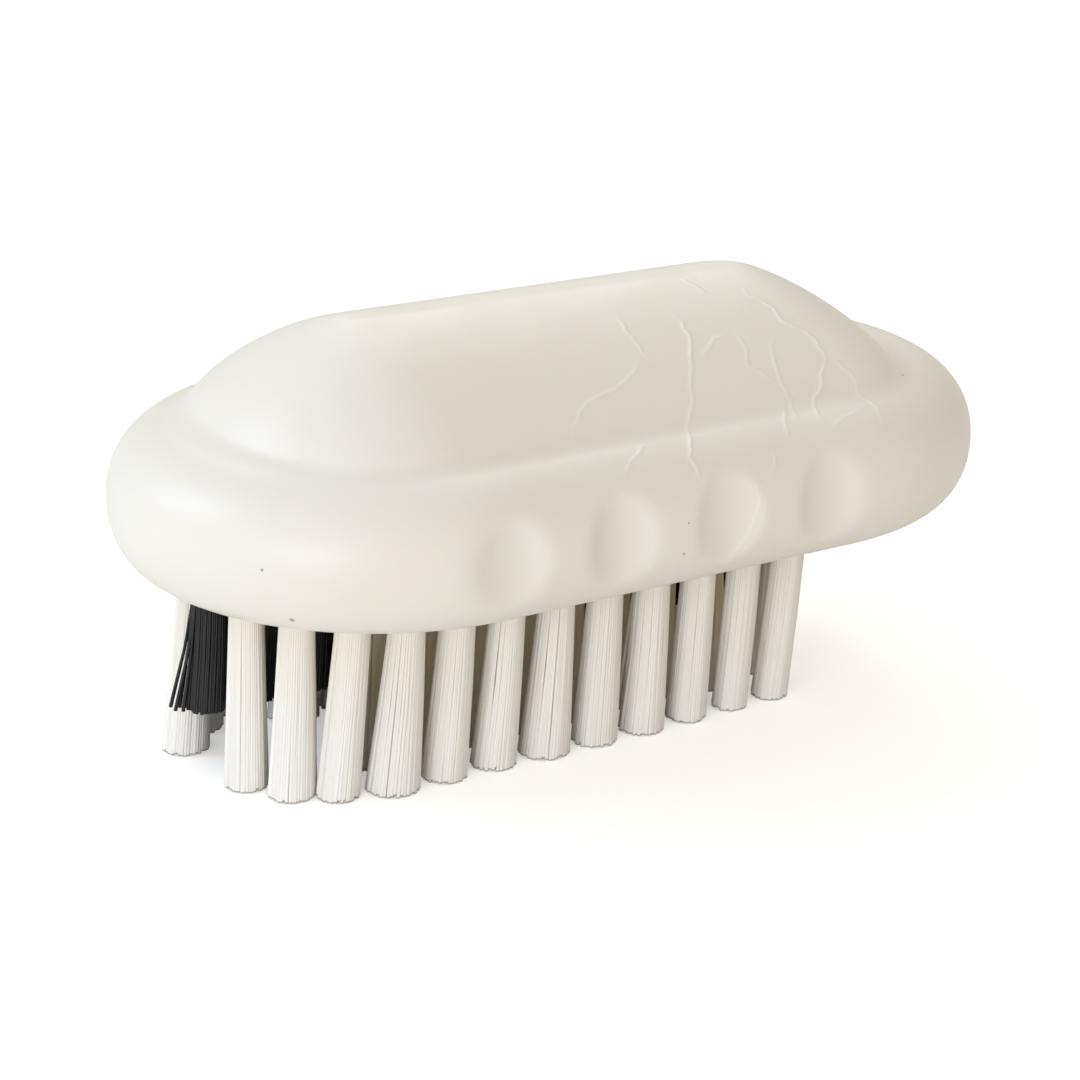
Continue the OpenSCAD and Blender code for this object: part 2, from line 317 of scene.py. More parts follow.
def camera_axes(stage):
    """The camera's place, and its right, up and backward directions."""
    back = direction(stage.azimuth, stage.elevation)
    level = Vector((math.cos(stage.azimuth), math.sin(stage.azimuth), 0))
    plumb = back.cross(level)
    right = level * math.cos(stage.roll) + plumb * math.sin(stage.roll)
    up = plumb * math.cos(stage.roll) - level * math.sin(stage.roll)
    return Vector(stage.target) + back * stage.distance, right, up, back


def photo_ray(stage, x, y):
    """The ray through a pixel of the photograph."""
    place, right, up, back = camera_axes(stage)
    reach = stage.focal / SENSOR * PHOTO_PIXELS
    middle = PHOTO_PIXELS / 2
    return place, (right * (x - middle) / reach - up * (y - middle) / reach - back).normalized()


# Columns of the back's skin on a quarter of an end and along a side, and its rows on each stretch
# from the underside up to the middle of the ridge
END_COLUMNS, SIDE_COLUMNS = 30, 64
ROWS = {"under": 12, "over": 12, "crease": 8, "grip": 22, "ridge": 3}
HOLE_SEGMENTS = 28
# Points of the skin nearer than this are one, and its edges are drawn sharp from this angle on
ONE_POINT = 0.0005 * MM
SHARP_EDGE = math.radians(40)
# How far a tuft's packed root starts above the underside, and how flat its trimmed tips lie
ROOT_START = 2 * MM
TIPS_BAND = 0.05 * MM

# A ring of the back: how far its straight sides reach left and right, the length of its left and
# right ends, its half width, its height, its fall from left to right, and its ends' squareness
Ring = namedtuple("Ring", "left right left_end right_end half_width height fall squareness")


def blend(a, b, part):
    """A ring between two others."""
    return Ring(*(p + (q - p) * part for p, q in zip(a, b)))


def ring_at(back, row):
    """The ring of the back at a row of its skin."""
    half_length = (BACK_HIGH.x - BACK_LOW.x) / 2
    half_width = (BACK_HIGH.y - BACK_LOW.y) / 2
    waist = BACK_LOW.z + back.waist_height
    crease = BACK_LOW.z + back.rim_height

    def rim(inset, height):
        reach = half_length - half_width
        end = half_width - inset
        return Ring(reach, reach, end, end, end, height, 0, 2)

    def rim_under(turn):
        power = 2 / back.rim_fullness
        inset = back.under_inset * (1 - math.sin(turn) ** power)
        return rim(inset, waist - back.waist_height * max(math.cos(turn), 0) ** power)

    def rim_over(turn):
        power = 2 / back.rim_fullness
        inset = back.crease_inset * (1 - max(math.cos(turn), 0) ** power)
        return rim(inset, waist + (crease - waist) * math.sin(turn) ** power)

    base = Ring(
        back.base_left - back.base_left_end, back.base_right - back.base_right_end,
        back.base_left_end, back.base_right_end, back.base_width / 2,
        crease, 0, back.grip_squareness)
    ridge = Ring(
        back.ridge_left - back.ridge_left_end, back.ridge_right - back.ridge_right_end,
        back.ridge_left_end, back.ridge_right_end, back.ridge_width / 2,
        crease + back.grip_height, back.ridge_fall, back.grip_squareness)

    def grip(turn):
        power = 2 / back.grip_fullness
        out = max(math.cos(turn), 0) ** power
        rise = 1 - math.sin(turn) ** power
        shares = (rise if label in ("height", "fall") else out for label in Ring._fields)
        return Ring(*(r + (b - r) * part for r, b, part in zip(ridge, base, shares)))

    quarter = math.pi / 2
    for stretch, rows in ROWS.items():
        if row <= rows or stretch == "ridge":
            break
        row -= rows
    part = min(row / rows, 1)
    if stretch == "under":
        return rim_under(quarter * part)
    if stretch == "over":
        return rim_over(quarter * back.crease_rim_share * part)
    if stretch == "crease":
        low = rim_over(quarter * back.crease_rim_share)
        high = grip(quarter * back.crease_grip_share)
        return blend(blend(low, base, part), blend(base, high, part), part)
    if stretch == "grip":
        return grip(quarter * (back.crease_grip_share + (1 - back.crease_grip_share) * part))
    return ridge._replace(half_width=ridge.half_width * (1 - part))


def dimple_at(back, x, height):
    """How deep the finger dimples are at a place on the rim: oval bowls with soft edges."""
    deepest = 0
    for i in range(back.dimple_count):
        middle = (i - (back.dimple_count - 1) / 2) * back.dimple_pitch - back.dimple_offset
        across = (x - middle) / (back.dimple_width / 2)
        along = (height - BACK_LOW.z - back.dimple_rise) / (back.dimple_height / 2)
        square = across**2 + along**2
        if square < 1:
            deepest = max(deepest, back.dimple_depth * (1 - square**1.5) ** 2)
    return deepest


def skin_point(back, column, row):
    """The point of the back's skin at a column and a row, which need not be whole."""
    ring = ring_at(back, row)
    quarter = math.pi / 2
    left = 2 * END_COLUMNS + SIDE_COLUMNS
    side, rest = divmod(column, left)
    if rest <= END_COLUMNS:
        along, turn = 1, quarter * rest / END_COLUMNS
    elif rest <= END_COLUMNS + SIDE_COLUMNS:
        along, turn = 1 - 2 * (rest - END_COLUMNS) / SIDE_COLUMNS, quarter
    else:
        along, turn = -1, quarter * (1 + (rest - END_COLUMNS - SIDE_COLUMNS) / END_COLUMNS)
    if side % 2:
        along, turn = -along, turn + math.pi
    c, s = math.cos(turn), math.sin(turn)
    power = 2 / ring.squareness
    end = (-ring.left_end if c < 0 else ring.right_end) * abs(c) ** power
    x = -ring.left + (ring.right + ring.left) * (along + 1) / 2 + end
    y = math.copysign(ring.half_width * abs(s) ** power, s)
    # The dimples are on the long sides, and never at the ends
    if abs(s) > 0.5:
        y -= math.copysign(dimple_at(back, x, ring.height), s)
    return Vector((x, y, ring.height - ring.fall * x / (BACK_HIGH.x - BACK_LOW.x)))


def smooth_line(points, step):
    """Points every step along a smooth curve through the given ones, and the share of its length."""
    points = [Vector(p) for p in points]
    points = [2 * points[0] - points[1]] + points + [2 * points[-1] - points[-2]]
    line = []
    for a, b, c, d in zip(points, points[1:], points[2:], points[3:]):
        steps = max(int((c - b).length / step), 1)
        for t in (k / steps for k in range(steps)):
            bend = 2 * a - 5 * b + 4 * c - d
            twist = 3 * b - a - 3 * c + d
            line.append(0.5 * (2 * b + (c - a) * t + bend * t**2 + twist * t**3))
    return [(p, k / max(len(line) - 1, 1)) for k, p in enumerate(line)]


def find_marks(back, stage, skin):
    """The flow marks' points on the skin, with the strength that each has there."""
    found = []
    for name, pixels in FLOW_MARKS.items():
        for pixel, along in smooth_line(pixels, MARK_STEP):
            # Not noise_vector, which differs from run to run
            spot = Vector((pixel.x / WANDER_WAVE, pixel.y / WANDER_WAVE, 0))
            wander = Vector((noise.noise(spot), noise.noise(spot + WANDER_SHIFT))) * back.mark_wander
            place = skin.ray_cast(*photo_ray(stage, *(pixel + wander)))[0]
            if place is not None:
                # A mark swells quickly from a third of its strength, and dies away to less
                fade = min(1, 4 * along + 0.35, 4 * (1 - along) + 0.15)
                wave = 0.75 + 0.35 * noise.noise(place / STRENGTH_WAVE)
                found.append((place, STRONG_MARKS.get(name, FAINT_MARK) * fade * wave))
    tree = KDTree(len(found))
    for k, (place, _) in enumerate(found):
        tree.insert(place, k)
    tree.balance()
    return tree, [strength for _, strength in found]


def refine_near_marks(mesh, marks):
    """Halves the skin's edges near the flow marks until they can carry the marks' relief."""
    for reach, longest in MARK_REFINING:
        edges = [e for e in mesh.edges if e.calc_length() > longest
                 and marks.find((e.verts[0].co + e.verts[1].co) / 2)[2] < reach + e.calc_length() / 2]
        bmesh.ops.subdivide_edges(mesh, edges=edges, cuts=1, use_grid_fill=True)


def corners_of(data):
    """The corners of a mesh."""
    points = np.empty(len(data.vertices) * 3)
    data.vertices.foreach_get("co", points)
    return points.reshape(-1, 3)


def root_of(name):
    """The middle of the mouth of a tuft's hole, and the radius of its packed root."""
    points = corners_of(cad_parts[name].data)
    root = points[points[:, 2] > BACK_LOW.z + ROOT_START]
    low, high = root.min(axis=0), root.max(axis=0)
    mouth = Vector(((low[0] + high[0]) / 2, (low[1] + high[1]) / 2, BACK_LOW.z))
    return mouth, (high[0] - low[0]) / 2


def tips_of(name):
    """The middle and radius of a tuft's trimmed tips."""
    points = corners_of(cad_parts[name].data)
    tips = points[points[:, 2] < points[:, 2].min() + TIPS_BAND]
    middle = tips.mean(axis=0)
    return Vector(middle), float(np.linalg.norm((tips - middle)[:, :2], axis=1).max())


def add_underside(mesh, back):
    """Closes the skin with the flat underside, and sinks the tuft holes into it."""
    rim = [e for e in mesh.edges if e.is_boundary]
    mouths = []
    for name in WHITE_NODES + BLACK_NODES:
        circle = bmesh.ops.create_circle(mesh, segments=HOLE_SEGMENTS, radius=back.hole_diameter / 2,
                                         matrix=Matrix.Translation(root_of(name)[0]))
        mouths.append(list(dict.fromkeys(e for v in circle["verts"] for e in v.link_edges)))
    every = rim + [e for mouth in mouths for e in mouth]
    bmesh.ops.triangle_fill(mesh, edges=every, use_beauty=True, use_dissolve=False, normal=(0, 0, -1))
    for mouth in mouths:
        walls = bmesh.ops.extrude_edge_only(mesh, edges=mouth)["geom"]
        corners = [g for g in walls if isinstance(g, bmesh.types.BMVert)]
        bmesh.ops.translate(mesh, verts=corners, vec=(0, 0, back.hole_depth))
        floor = [g for g in walls
                 if isinstance(g, bmesh.types.BMEdge) and all(v in corners for v in g.verts)]
        bmesh.ops.contextual_create(mesh, geom=floor)


def model_back(back, stage):
    """The moulded back: a skin of columns and rows, with the flow marks raised out of it."""
    columns = 2 * (2 * END_COLUMNS + SIDE_COLUMNS)
    rows = sum(ROWS.values())
    mesh = bmesh.new()
    bmesh.ops.create_grid(mesh, x_segments=columns, y_segments=rows, size=0.5)
    column_of = mesh.verts.layers.float.new("column")
    row_of = mesh.verts.layers.float.new("row")
    for v in mesh.verts:
        v[column_of] = round((v.co.x + 0.5) * columns)
        v[row_of] = round((v.co.y + 0.5) * rows)
        v.co = skin_point(back, v[column_of], v[row_of])
    mesh.normal_update()
    marks, strengths = find_marks(back, stage, BVHTree.FromBMesh(mesh))
    refine_near_marks(mesh, marks)
    for v in mesh.verts:
        v.co = skin_point(back, v[column_of], v[row_of])
    bmesh.ops.remove_doubles(mesh, verts=mesh.verts, dist=ONE_POINT)
    bmesh.ops.recalc_face_normals(mesh, faces=mesh.faces)
    mesh.normal_update()
    relief = mesh.verts.layers.float.new("flow_mark")
    moves = []
    for v in mesh.verts:
        _, k, gap = marks.find(v.co)
        height = strengths[k] * math.exp(-((gap / (back.mark_width / 2)) ** 2))
        v[relief] = height
        if height > LEAST_RELIEF:
            moves.append((v, v.normal * back.mark_height * height))
    for v, move in moves:
        v.co += move
    add_underside(mesh, back)
    bmesh.ops.triangulate(mesh, faces=[f for f in mesh.faces if len(f.verts) > 4])
    bmesh.ops.recalc_face_normals(mesh, faces=mesh.faces)
    for face in mesh.faces:
        face.smooth = True
    for edge in mesh.edges:
        edge.smooth = edge.calc_face_angle(0) < SHARP_EDGE
    # Each layer is fetched anew, because a removal moves the others
    for label in ("column", "row"):
        mesh.verts.layers.float.remove(mesh.verts.layers.float[label])
    data = bpy.data.meshes.new("moulded_back")
    mesh.to_mesh(data)
    mesh.free()
    return data


# Real sizes of the skin's patterns: stretches of thicker plastic, worn patches and sink waves. The
# mould's spark-eroded grain is about 0.1 mm, too fine to show, so it is drawn coarser
THICK_STRETCH = 28 * MM
WORN_PATCH = 9 * MM
SINK_WAVE = 11 * MM
GRAIN = 0.45 * MM


def moulded_polypropylene(back, stage, skin):
    """Injection-moulded polypropylene, satin from a fine spark-eroded mould. It is slightly waxy: light
    enters the surface and highlights stay soft. The melt's flow marks stand out as fine raised lines,
    tinted paler along them as a painted highlight."""
    made, tree, out = new_material("injection_moulded_polypropylene")
    place = add_node(tree, "ShaderNodeTexCoord").outputs["Object"]
    thick = add_node(tree, "ShaderNodeTexNoise", {
        "Vector": place, "Scale": 1 / THICK_STRETCH, "Detail": 3.0})
    tone = add_node(tree, "ShaderNodeMix", {
        "Factor": thick.outputs["Fac"], "A": back.tint, "B": back.deep_tint}, data_type="RGBA")
    mark = add_node(tree, "ShaderNodeAttribute", attribute_name="flow_mark").outputs["Fac"]
    # Painted highlight: the flow marks are tinted paler in step with their relief
    pale = add_node(tree, "ShaderNodeMath", {0: mark, 1: 0.35}, operation="MULTIPLY", use_clamp=True)
    paint = add_node(tree, "ShaderNodeMix", {
        "Factor": pale.outputs[0], "A": tone.outputs["Result"], "B": back.mark_highlight_tint}, data_type="RGBA")
    for x, y, diameter in DIRT_SPECKS:
        spot = skin.ray_cast(*photo_ray(stage, x, y))[0]
        if spot is None:
            raise RuntimeError(f"No skin lies behind the dirt speck at {x}, {y}")
        gap = add_node(tree, "ShaderNodeVectorMath", {0: place, 1: spot}, operation="DISTANCE")
        dirt = add_node(tree, "ShaderNodeMapRange", {
            "Value": gap.outputs["Value"],
            "From Min": diameter * MM * 0.5, "From Max": diameter * MM * 0.25,
            "To Min": 0.0, "To Max": 0.75})
        paint = add_node(tree, "ShaderNodeMix", {
            "Factor": dirt.outputs["Result"], "A": paint.outputs["Result"], "B": back.speck_tint},
            data_type="RGBA")
    wear = add_node(tree, "ShaderNodeTexNoise", {"Vector": place, "Scale": 1 / WORN_PATCH, "Detail": 4.0})
    gloss = add_node(tree, "ShaderNodeMapRange", {
        "Value": wear.outputs["Fac"], "From Min": 0.3, "From Max": 0.7, "To Min": 0.34, "To Max": 0.46})
    grain = add_node(tree, "ShaderNodeTexNoise", {"Vector": place, "Scale": 1 / GRAIN, "Detail": 2.0})
    sink = add_node(tree, "ShaderNodeTexNoise", {"Vector": place, "Scale": 1 / SINK_WAVE, "Detail": 1.0})
    fine = add_node(tree, "ShaderNodeBump", {
        "Height": grain.outputs["Fac"], "Strength": 0.25, "Distance": 0.02 * MM})
    soft = add_node(tree, "ShaderNodeBump", {
        "Height": sink.outputs["Fac"], "Strength": 0.35, "Distance": 0.5 * MM,
        "Normal": fine.outputs["Normal"]})
    plastic = add_node(tree, "ShaderNodeBsdfPrincipled", {
        "Base Color": paint.outputs["Result"], "Roughness": gloss.outputs["Result"], "IOR": 1.49,
        "Subsurface Weight": 0.25, "Subsurface Radius": (1.0, 0.82, 0.6), "Subsurface Scale": 2.5 * MM,
        "Normal": soft.outputs["Normal"]})
    tree.links.new(plastic.outputs[0], out.inputs["Surface"])
    return made


# Length and width of the fine die lines along the filaments and along the anchors' wire. Real ones
# are about 0.02 mm wide, too fine to show, so they are drawn wider
NYLON_LINES = (4 * MM, 0.1 * MM)
WIRE_LINES = (3 * MM, 0.06 * MM)


def nylon_filament(name, tints, roughness, bundle):
    """Extruded nylon monofilament: a smooth round thread with a soft sheen along its length. Each thread
    has its own tone, and its sheared end is darker. The crowded roots carry a painted creamy shade and the
    inner rows a deeper one, standing in for the warm light that spreads from thread to thread; that light
    also lights a tuft mostly as one round bundle. The tints are the thread's, its deeper tone's, the
    roots' painted shade, the inner rows' painted shade and the cut ends'."""
    made, tree, out = new_material(name)
    paint = tints[0]
    # The root and inner tints paint shade into the thread's colour
    for label, tint in zip(("tone", "root", "inner", "cut"), tints[1:]):
        part = add_node(tree, "ShaderNodeAttribute", attribute_name=label).outputs["Fac"]
        mix = add_node(tree, "ShaderNodeMix", {"Factor": part, "A": paint, "B": tint}, data_type="RGBA")
        paint = mix.outputs["Result"]
    place = add_node(tree, "ShaderNodeTexCoord").outputs["Object"]
    long, wide = NYLON_LINES
    drawn = add_node(tree, "ShaderNodeMapping", {"Vector": place, "Scale": (1 / wide, 1 / wide, 1 / long)})
    lines = add_node(tree, "ShaderNodeTexNoise", {
        "Vector": drawn.outputs["Vector"], "Scale": 1.0, "Detail": 2.0})
    outward = add_node(tree, "ShaderNodeAttribute", attribute_name="outward").outputs["Vector"]
    weighed = add_node(tree, "ShaderNodeVectorMath", {0: outward, "Scale": bundle}, operation="SCALE")
    own = add_node(tree, "ShaderNodeNewGeometry").outputs["Normal"]
    both = add_node(tree, "ShaderNodeVectorMath", {0: weighed.outputs[0], 1: own}, operation="ADD")
    even = add_node(tree, "ShaderNodeVectorMath", {0: both.outputs[0]}, operation="NORMALIZE")
    draw = add_node(tree, "ShaderNodeBump", {
        "Height": lines.outputs["Fac"], "Strength": 0.3, "Distance": 0.02 * MM, "Normal": even.outputs[0]})
    thread = add_node(tree, "ShaderNodeBsdfPrincipled", {
        "Base Color": paint, "Roughness": roughness, "IOR": 1.53, "Normal": draw.outputs["Normal"]})
    tree.links.new(thread.outputs[0], out.inputs["Surface"])
    return made


def drawn_wire(tint, deep_tint):
    """Drawn flat brass wire, cut to length: bright, with fine lines along it."""
    made, tree, out = new_material("drawn_brass_wire")
    place = add_node(tree, "ShaderNodeTexCoord").outputs["Object"]
    long, wide = WIRE_LINES
    along = add_node(tree, "ShaderNodeMapping", {"Vector": place, "Scale": (1 / long, 1 / wide, 1 / wide)})
    lines = add_node(tree, "ShaderNodeTexNoise", {
        "Vector": along.outputs["Vector"], "Scale": 1.0, "Detail": 3.0})
    tone = add_node(tree, "ShaderNodeMix", {
        "Factor": lines.outputs["Fac"], "A": tint, "B": deep_tint}, data_type="RGBA")
    gloss = add_node(tree, "ShaderNodeMapRange", {
        "Value": lines.outputs["Fac"], "To Min": 0.22, "To Max": 0.38})
    wire = add_node(tree, "ShaderNodeBsdfPrincipled", {
        "Base Color": tone.outputs["Result"], "Metallic": 1.0, "Roughness": gloss.outputs["Result"]})
    tree.links.new(wire.outputs[0], out.inputs["Surface"])
    return made


# Rings of one folded filament, from one tip over the anchor to the other: the tip, the end of its
# cut band, half way, the hole's mouth, beside the anchor, and the fold over it
LEG_RINGS = 5
FOLD_RINGS = 1
FILAMENT_SIDES = 5
# Share of painted creamy shade in a filament at the rings of a leg, in every tuft and in the inner rows
ROOT_SHADE_SHARES = [0, 0, 0.3, 1, 1]
INNER_SHADE_SHARES = [0, 0, 1, 1, 1]
# Half the thickness of the anchors' wire
ANCHOR_HALF = 0.2 * MM


def filament_template(radius):
    """One straight filament along Z, with a ring at each whole height."""
    rings = 2 * LEG_RINGS + FOLD_RINGS
    mesh = bmesh.new()
    bmesh.ops.create_cone(mesh, segments=FILAMENT_SIDES, radius1=radius, radius2=radius, depth=rings - 1,
                          cap_ends=True, matrix=Matrix.Translation((0, 0, (rings - 1) / 2)))
    for height in range(1, rings - 1):
        bmesh.ops.bisect_plane(mesh, geom=mesh.verts[:] + mesh.edges[:] + mesh.faces[:],
                               plane_co=(0, 0, height), plane_no=(0, 0, 1))
    for face in mesh.faces:
        face.smooth = len(face.verts) == 4
    data = bpy.data.meshes.new("filament")
    mesh.to_mesh(data)
    mesh.free()
    return data


def repeated(data, copies):
    """A mesh of many copies of another in one place, which come in the order of their making."""
    holder = bpy.data.objects.new("copies", data)
    bpy.context.scene.collection.objects.link(holder)
    array = holder.modifiers.new("copies", "ARRAY")
    array.count = copies
    array.use_relative_offset = False
    array.use_constant_offset = True
    array.constant_offset_displace = (0, 0, 0)
    made = bpy.data.meshes.new_from_object(holder.evaluated_get(bpy.context.evaluated_depsgraph_get()))
    bpy.data.objects.remove(holder)
    return made


def packed_places(radius, spacing):
    """Places of the filaments on one side of an anchor, in half rings as they pack in a round hole."""
    places = []
    for ring in range(int(radius / spacing) + 1):
        reach = radius - ring * spacing
        seats = max(round(math.pi * reach / spacing), 1)
        for seat in range(seats):
            turn = math.pi * (seat + 0.5) / seats
            places.append((reach * math.cos(turn), reach * math.sin(turn)))
    return np.array(places)


def whole_filament(leg, fold):
    """A value for every ring of a filament, from those along one leg and the one over the fold."""
    leg = list(leg)
    return np.array(leg + [fold] * FOLD_RINGS + leg[::-1], dtype=float)


def filament_path(tufts, name, places, dice, right):
    """The middle of every ring of every filament of a tuft, and how wide the tuft flares."""
    radius = tufts.filament / 2
    middle, root_radius = root_of(name)
    tips, tips_radius = tips_of(name)
    lean, flare = STANDING.get(name, (dice.normal(0, LEAN_SPREAD), dice.uniform(*FLARES)))
    tips_radius *= flare
    lean = np.array(right[:2]) * lean * MM
    strays = [-np.array(right[:2]) * tufts.stray_reach * part for part in STRAYS.get(name, ())]
    anchor_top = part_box("tuft_anchors")[1].z
    spread = (tips_radius - radius) / (root_radius - radius)
    # The legs on one side of the anchor's wire share the room that it leaves them in the hole
    squeeze = 1 - (ANCHOR_HALF + radius) / (root_radius - radius)
    n = len(places)
    legs = []
    for side in (1, -1):
        root = places * (1, side)
        tip = root * spread
        heart = tip[dice.integers(n, size=tufts.clumps)]
        nearest = np.linalg.norm(tip[:, None] - heart, axis=2).argmin(axis=1)
        tip = tip + (heart[nearest] - tip) * tufts.clumping + dice.normal(0, tufts.tip_scatter, (n, 2))
        # No tip strays far out of the tuft's round
        limit = tips_radius + 0.25 * tufts.tip_scatter
        tip *= np.minimum(1, limit / np.maximum(np.linalg.norm(tip, axis=1), TINY))[:, None]
        tip += np.array(tips[:2]) - np.array(middle[:2]) + lean
        for push in strays:
            outermost = np.argsort(root @ push)[-1 - dice.integers(STRAY_CHOICE)]
            tip[outermost] += push
        cut = np.array(tips)[2] + np.abs(dice.normal(0, tufts.cut_scatter, n))
        bow = dice.normal(0, tufts.bow, (n, 2))
        beside = ANCHOR_HALF + radius + np.abs(root[:, 1]) * squeeze
        past = np.stack([root[:, 0], side * beside], axis=1)
        half = (cut + middle.z) / 2
        near = (tufts.cut_band / (middle.z - cut))[:, None]
        legs.append([
            (tip, cut), (tip + (root - tip) * near, cut + tufts.cut_band),
            (root + (tip - root) * tufts.bell + bow, half), (root, np.full(n, middle.z)),
            (past, np.full(n, anchor_top))])
    fold = []
    for k in range(1, FOLD_RINGS + 1):
        turn = math.pi * k / (FOLD_RINGS + 1)
        arm = legs[0][-1][0][:, 1]
        over = np.stack([places[:, 0], arm * math.cos(turn)], axis=1)
        fold.append((over, anchor_top + arm * math.sin(turn)))
    rings = legs[0] + fold + legs[1][::-1]
    path = [np.column_stack([flat + np.array(middle[:2]), height]) for flat, height in rings]
    return np.stack(path, axis=1), flare


def model_tuft(tufts, name, template, places, dice, right):
    """A tuft of nylon filaments, each folded in half over the anchor in its hole."""
    path, flare = filament_path(tufts, name, places, dice, right)
    mesh = repeated(template, len(places))
    corners = corners_of(template)
    ring = np.rint(corners[:, 2]).astype(int)
    along = np.gradient(path, axis=1)
    along /= np.linalg.norm(along, axis=2, keepdims=True)
    across = np.array([1.0, 0, 0]) - along * along[:, :, :1]
    across /= np.linalg.norm(across, axis=2, keepdims=True)
    other = np.cross(along, across)
    full = tufts.tip_swell * max(1, flare / tufts.full_flare)
    swell = whole_filament([full, full, (1 + full) / 2, 1, 1], 1)
    flat = corners[:, :2] * swell[ring][:, None]
    placed = path[:, ring] + across[:, ring] * flat[:, 0, None] + other[:, ring] * flat[:, 1, None]
    # The tips are trimmed flat, and none passes the CAD's
    placed[:, :, 2] = np.maximum(placed[:, :, 2], tips_of(name)[0].z)
    mesh.vertices.foreach_set("co", placed.ravel())
    outward = path - path.mean(axis=0)
    outward[:, :, 2] = 0
    outward /= np.maximum(np.linalg.norm(outward, axis=2, keepdims=True), TINY)
    outwards = mesh.attributes.new("outward", "FLOAT_VECTOR", "POINT")
    outwards.data.foreach_set("vector", outward[:, ring].ravel())
    last = path.shape[1] - 1
    tones = dice.random((len(places), 2))
    tone = np.where(ring <= last / 2, tones[:, :1], tones[:, 1:]).ravel()
    # The inner rows carry a painted creamy shade above their tips, and every tuft a lighter one at its
    # roots
    inner = whole_filament(INNER_SHADE_SHARES, 1) if name in INNER_NODES else whole_filament([0] * LEG_RINGS, 0)
    shares = {
        "tone": tone,
        "cut": np.tile(np.isin(ring, (0, last)).astype(float), len(places)),
        "root": np.tile(whole_filament(ROOT_SHADE_SHARES, 1)[ring], len(places)),
        "inner": np.tile(inner[ring], len(places)),
    }
    for label, values in shares.items():
        mesh.attributes.new(label, "FLOAT", "POINT").data.foreach_set("value", values)
    mesh.update()
    return mesh


def make_tufts(context, nodes, material, slot, seed):
    """Models the tufts of one colour."""
    tufts = context.scene.nail_brush_tufts
    dice = np.random.default_rng(seed)
    radius = tufts.filament / 2
    template = filament_template(radius)
    places = packed_places(root_of(nodes[0])[1] - radius, tufts.spacing)
    _, right, _, _ = camera_axes(context.scene.nail_brush_stage)
    for name in nodes:
        mesh = model_tuft(tufts, name, template, places, dice, right)
        mesh.name = name + "_filaments"
        mesh.materials.append(material)
        new_piece(name + "_filaments", mesh, slot, name)


class NAILBRUSH_OT_back(bpy.types.Operator):
    """Models the moulded back and gives it its material"""

    bl_idname = "nailbrush.back"
    bl_label = "Moulded Back"

    def execute(self, context):
        back, stage = context.scene.nail_brush_back, context.scene.nail_brush_stage
        data = model_back(back, stage)
        piece = new_piece("moulded_back", data, "back", "brush_back")
        skin = BVHTree.FromObject(piece, context.evaluated_depsgraph_get())
        data.materials.append(moulded_polypropylene(back, stage, skin))
        return {"FINISHED"}


class NAILBRUSH_OT_white_tufts(bpy.types.Operator):
    """Models the white tufts and gives them their nylon"""

    bl_idname = "nailbrush.white_tufts"
    bl_label = "White Tufts"

    def execute(self, context):
        tufts = context.scene.nail_brush_tufts
        tints = (tufts.white, tufts.white_deep, tufts.white_root_shade, tufts.white_inner_shade, tufts.white_cut)
        nylon = nylon_filament("white_nylon_filament", tints, tufts.roughness, tufts.bundle)
        make_tufts(context, WHITE_NODES, nylon, "white_bristle", WHITE_SEED)
        return {"FINISHED"}


class NAILBRUSH_OT_black_tufts(bpy.types.Operator):
    """Models the shorter black tufts and gives them their nylon"""

    bl_idname = "nailbrush.black_tufts"
    bl_label = "Black Tufts"

    def execute(self, context):
        tufts = context.scene.nail_brush_tufts
        tints = (tufts.black, tufts.black_deep, tufts.black_root_shade, tufts.black_root_shade, tufts.black_cut)
        nylon = nylon_filament("black_nylon_filament", tints, tufts.roughness, tufts.black_bundle)
        make_tufts(context, BLACK_NODES, nylon, "black_bristle", BLACK_SEED)
        return {"FINISHED"}


class NAILBRUSH_OT_anchors(bpy.types.Operator):
    """Gives the flat wire anchors their brass"""

    bl_idname = "nailbrush.anchors"
    bl_label = "Wire Anchors"

    def execute(self, context):
        tufts = context.scene.nail_brush_tufts
        wire = drawn_wire(tufts.brass, tufts.brass_deep)
        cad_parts["tuft_anchors"].material_slots[0].material = wire
        return {"FINISHED"}


def studio_floor(tint, white):
    """Matt studio paper. The camera sees it lifted towards white, and it keeps the brush's shadow."""
    made, tree, out = new_material("matt_studio_paper")
    paper = add_node(tree, "ShaderNodeBsdfDiffuse", {"Color": tint})
    lift = add_node(tree, "ShaderNodeEmission", {"Color": (1, 1, 1, 1), "Strength": white})
    both = add_node(tree, "ShaderNodeAddShader", {0: paper.outputs[0], 1: lift.outputs[0]})
    path = add_node(tree, "ShaderNodeLightPath").outputs
    mix = add_node(tree, "ShaderNodeMixShader", {
        0: path["Is Camera Ray"], 1: paper.outputs[0], 2: both.outputs[0]})
    tree.links.new(mix.outputs[0], out.inputs["Surface"])
    return made


def studio_world(stage):
    """White behind the brush, and a warmer, weaker light on it from all round."""
    world = bpy.data.worlds.new("studio")
    world.use_nodes = True
    tree = world.node_tree
    tree.nodes.clear()
    path = add_node(tree, "ShaderNodeLightPath").outputs
    fill = add_node(tree, "ShaderNodeBackground", {
        "Color": stage.daylight, "Strength": stage.fill_strength})
    white = add_node(tree, "ShaderNodeBackground", {"Color": (1, 1, 1, 1), "Strength": 1.0})
    mix = add_node(tree, "ShaderNodeMixShader", {
        0: path["Is Camera Ray"], 1: fill.outputs[0], 2: white.outputs[0]})
    add_node(tree, "ShaderNodeOutputWorld", {"Surface": mix.outputs[0]})
    return world


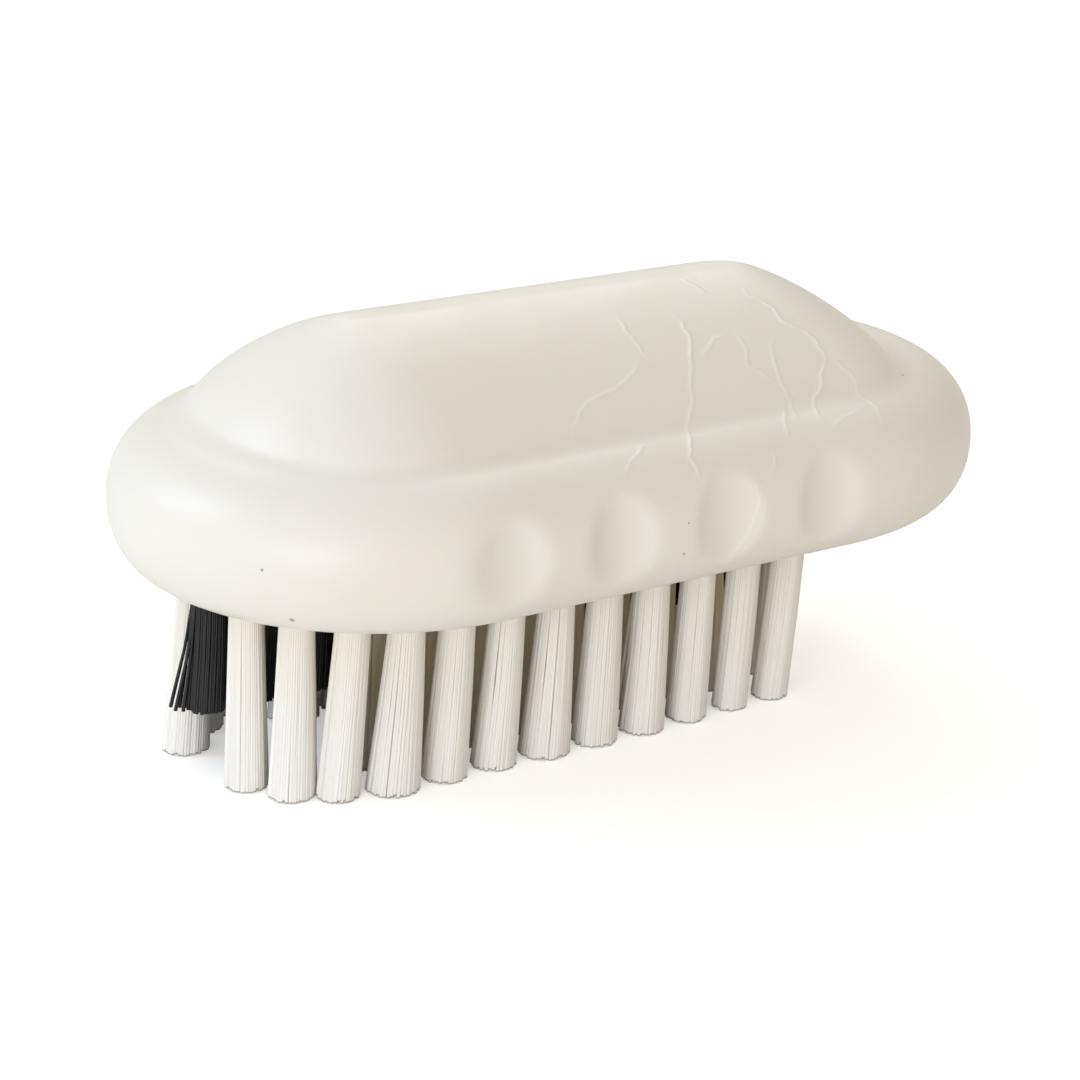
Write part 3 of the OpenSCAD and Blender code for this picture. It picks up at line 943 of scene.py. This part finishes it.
class NAILBRUSH_OT_stage(bpy.types.Operator):
    """Sets the floor, the soft light and the camera at the photograph's angle"""

    bl_idname = "nailbrush.stage"
    bl_label = "Studio"

    def execute(self, context):
        scene, stage = context.scene, context.scene.nail_brush_stage
        mesh = bmesh.new()
        bmesh.ops.create_grid(mesh, x_segments=1, y_segments=1, size=FLOOR_REACH)
        data = bpy.data.meshes.new("studio_floor")
        mesh.to_mesh(data)
        mesh.free()
        data.materials.append(studio_floor(stage.floor, stage.floor_lift))
        floor = bpy.data.objects.new("studio_floor", data)
        scene.collection.objects.link(floor)
        scene.world = studio_world(stage)
        aim = Vector((0, 0, LAMP_AIM))
        for name, (azimuth, elevation, distance, side, power, code) in SOFT_BOXES.items():
            light = bpy.data.lights.new(name, "AREA")
            light.size = side
            light.energy = power
            light.color = linear(code)[:3]
            way = direction(math.radians(azimuth), math.radians(elevation))
            lamp = bpy.data.objects.new(name, light)
            lamp.location = aim + way * distance
            lamp.rotation_euler = (-way).to_track_quat("-Z", "Y").to_euler()
            scene.collection.objects.link(lamp)
        place, right, up, back = camera_axes(stage)
        data = bpy.data.cameras.new("photo_camera")
        data.sensor_width = SENSOR / MM
        data.lens = stage.focal / MM
        data.clip_start = NEAREST_SEEN
        camera = bpy.data.objects.new("photo_camera", data)
        camera.matrix_world = Matrix.Translation(place) @ Matrix((right, up, back)).transposed().to_4x4()
        scene.collection.objects.link(camera)
        scene.camera = camera
        scene.view_settings.view_transform = "Standard"
        return {"FINISHED"}


STEPS = (NAILBRUSH_OT_stage, NAILBRUSH_OT_back, NAILBRUSH_OT_white_tufts, NAILBRUSH_OT_black_tufts,
         NAILBRUSH_OT_anchors)


class NAILBRUSH_PT_panel(bpy.types.Panel):
    """Lists the steps that dress the brush"""

    bl_idname = "NAILBRUSH_PT_panel"
    bl_label = "Nail Brush"
    bl_space_type = "VIEW_3D"
    bl_region_type = "UI"
    bl_category = "Nail Brush"

    def draw(self, context):
        for step in STEPS:
            self.layout.operator(step.bl_idname)
        for group, made in SETTINGS.items():
            box = self.layout.box()
            for name in made.__annotations__:
                box.prop(getattr(context.scene, group), name)


SETTINGS = {
    "nail_brush_back": BackSettings,
    "nail_brush_tufts": TuftSettings,
    "nail_brush_stage": StageSettings,
}


def register():
    """Registers the settings, the steps and the panel"""
    for made in (*SETTINGS.values(), *STEPS, NAILBRUSH_PT_panel):
        bpy.utils.register_class(made)
    for name, made in SETTINGS.items():
        setattr(bpy.types.Scene, name, PointerProperty(type=made))


def unregister():
    """Takes away what register made"""
    for name in SETTINGS:
        delattr(bpy.types.Scene, name)
    for made in (NAILBRUSH_PT_panel, *reversed(STEPS), *SETTINGS.values()):
        bpy.utils.unregister_class(made)


def main():
    """Dresses the brush step by step"""
    register()
    bpy.ops.nailbrush.stage()
    bpy.ops.nailbrush.back()
    bpy.ops.nailbrush.white_tufts()
    bpy.ops.nailbrush.black_tufts()
    bpy.ops.nailbrush.anchors()


if __name__ == "__main__":
    main()
